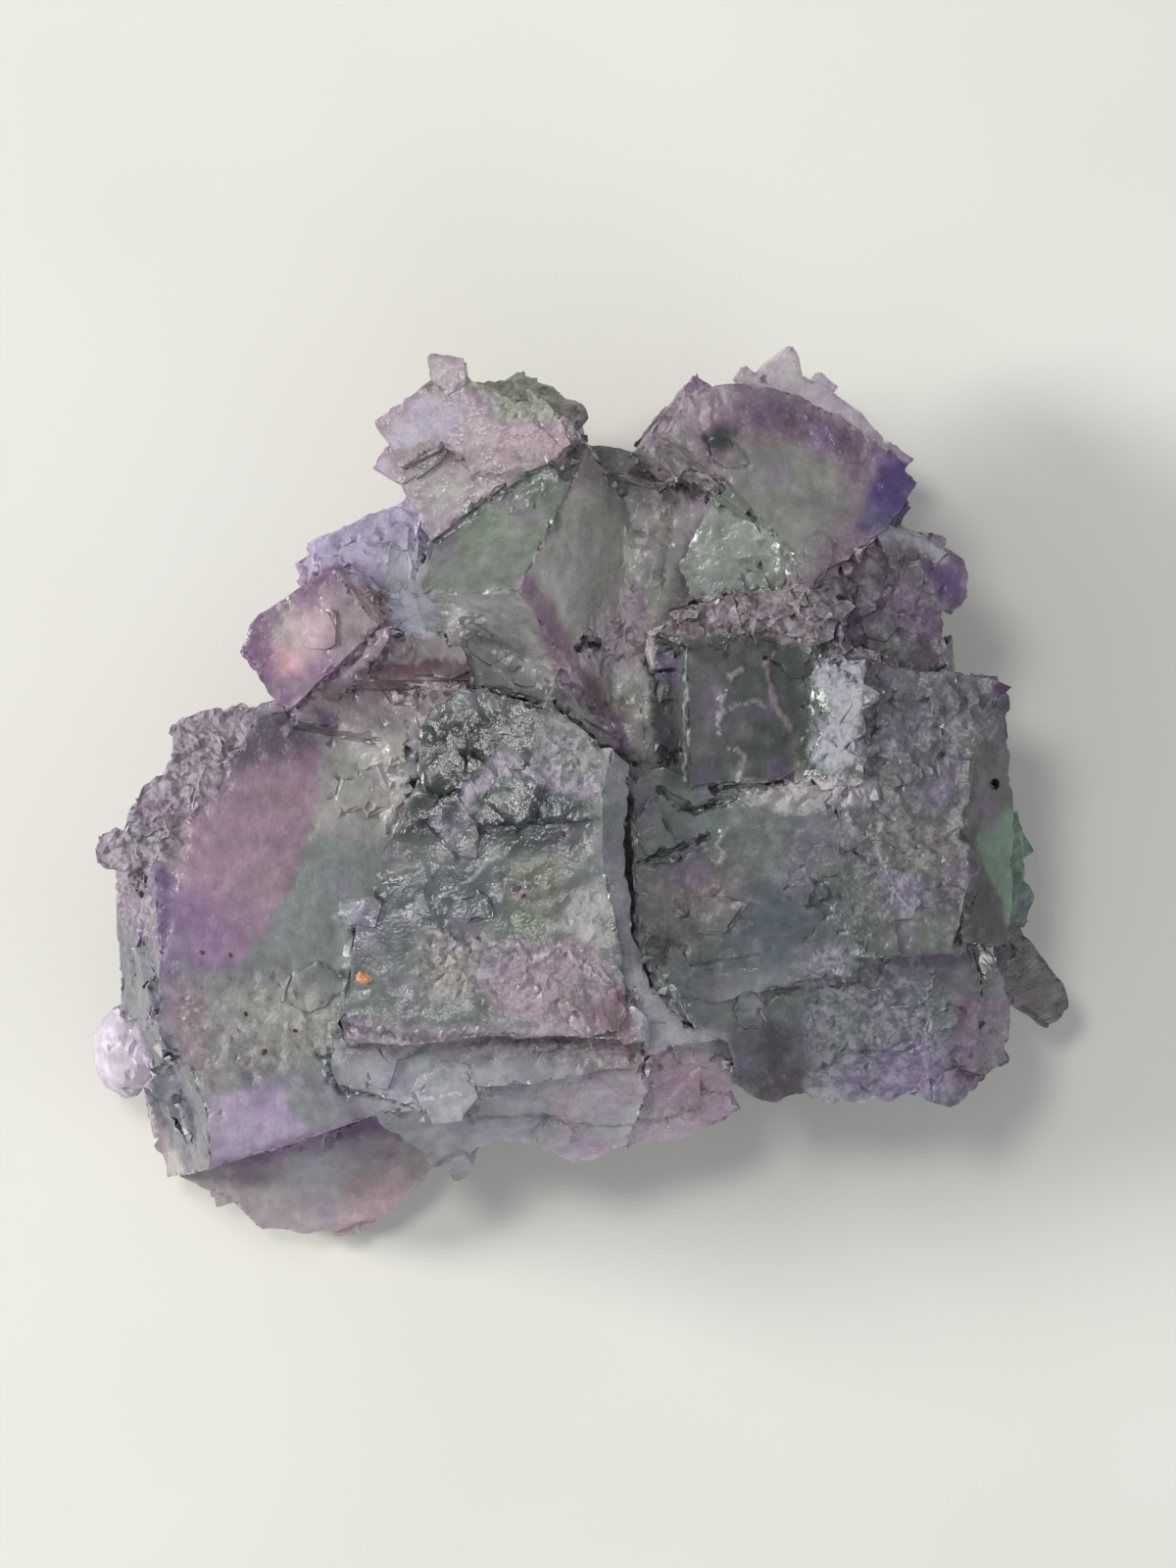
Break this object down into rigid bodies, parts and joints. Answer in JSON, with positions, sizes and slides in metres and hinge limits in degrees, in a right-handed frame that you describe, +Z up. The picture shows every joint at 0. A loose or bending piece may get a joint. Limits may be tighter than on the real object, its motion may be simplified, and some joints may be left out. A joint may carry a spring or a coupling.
{
  "type": "fluorite specimen",
  "caption": "Fluorite specimen: grey-green and lilac cubes grown into each other, with stepped and cleaved faces, lying on a flat broken base",
  "frame": {"origin": "on the flat base the cluster rests on, under the middle of its display side", "axes": "+Z up out of the display side, +X along the longest extent to the right, +Y away from the small clear slab"},
  "size_m": [0.0723, 0.066, 0.0318],
  "materials": {
    "fluorite": "glassy to frosted, see-through where thin"
  },
  "bodies": {
    "root": {"fluorite_cluster": "fluorite"}
  },
  "joints": []
}
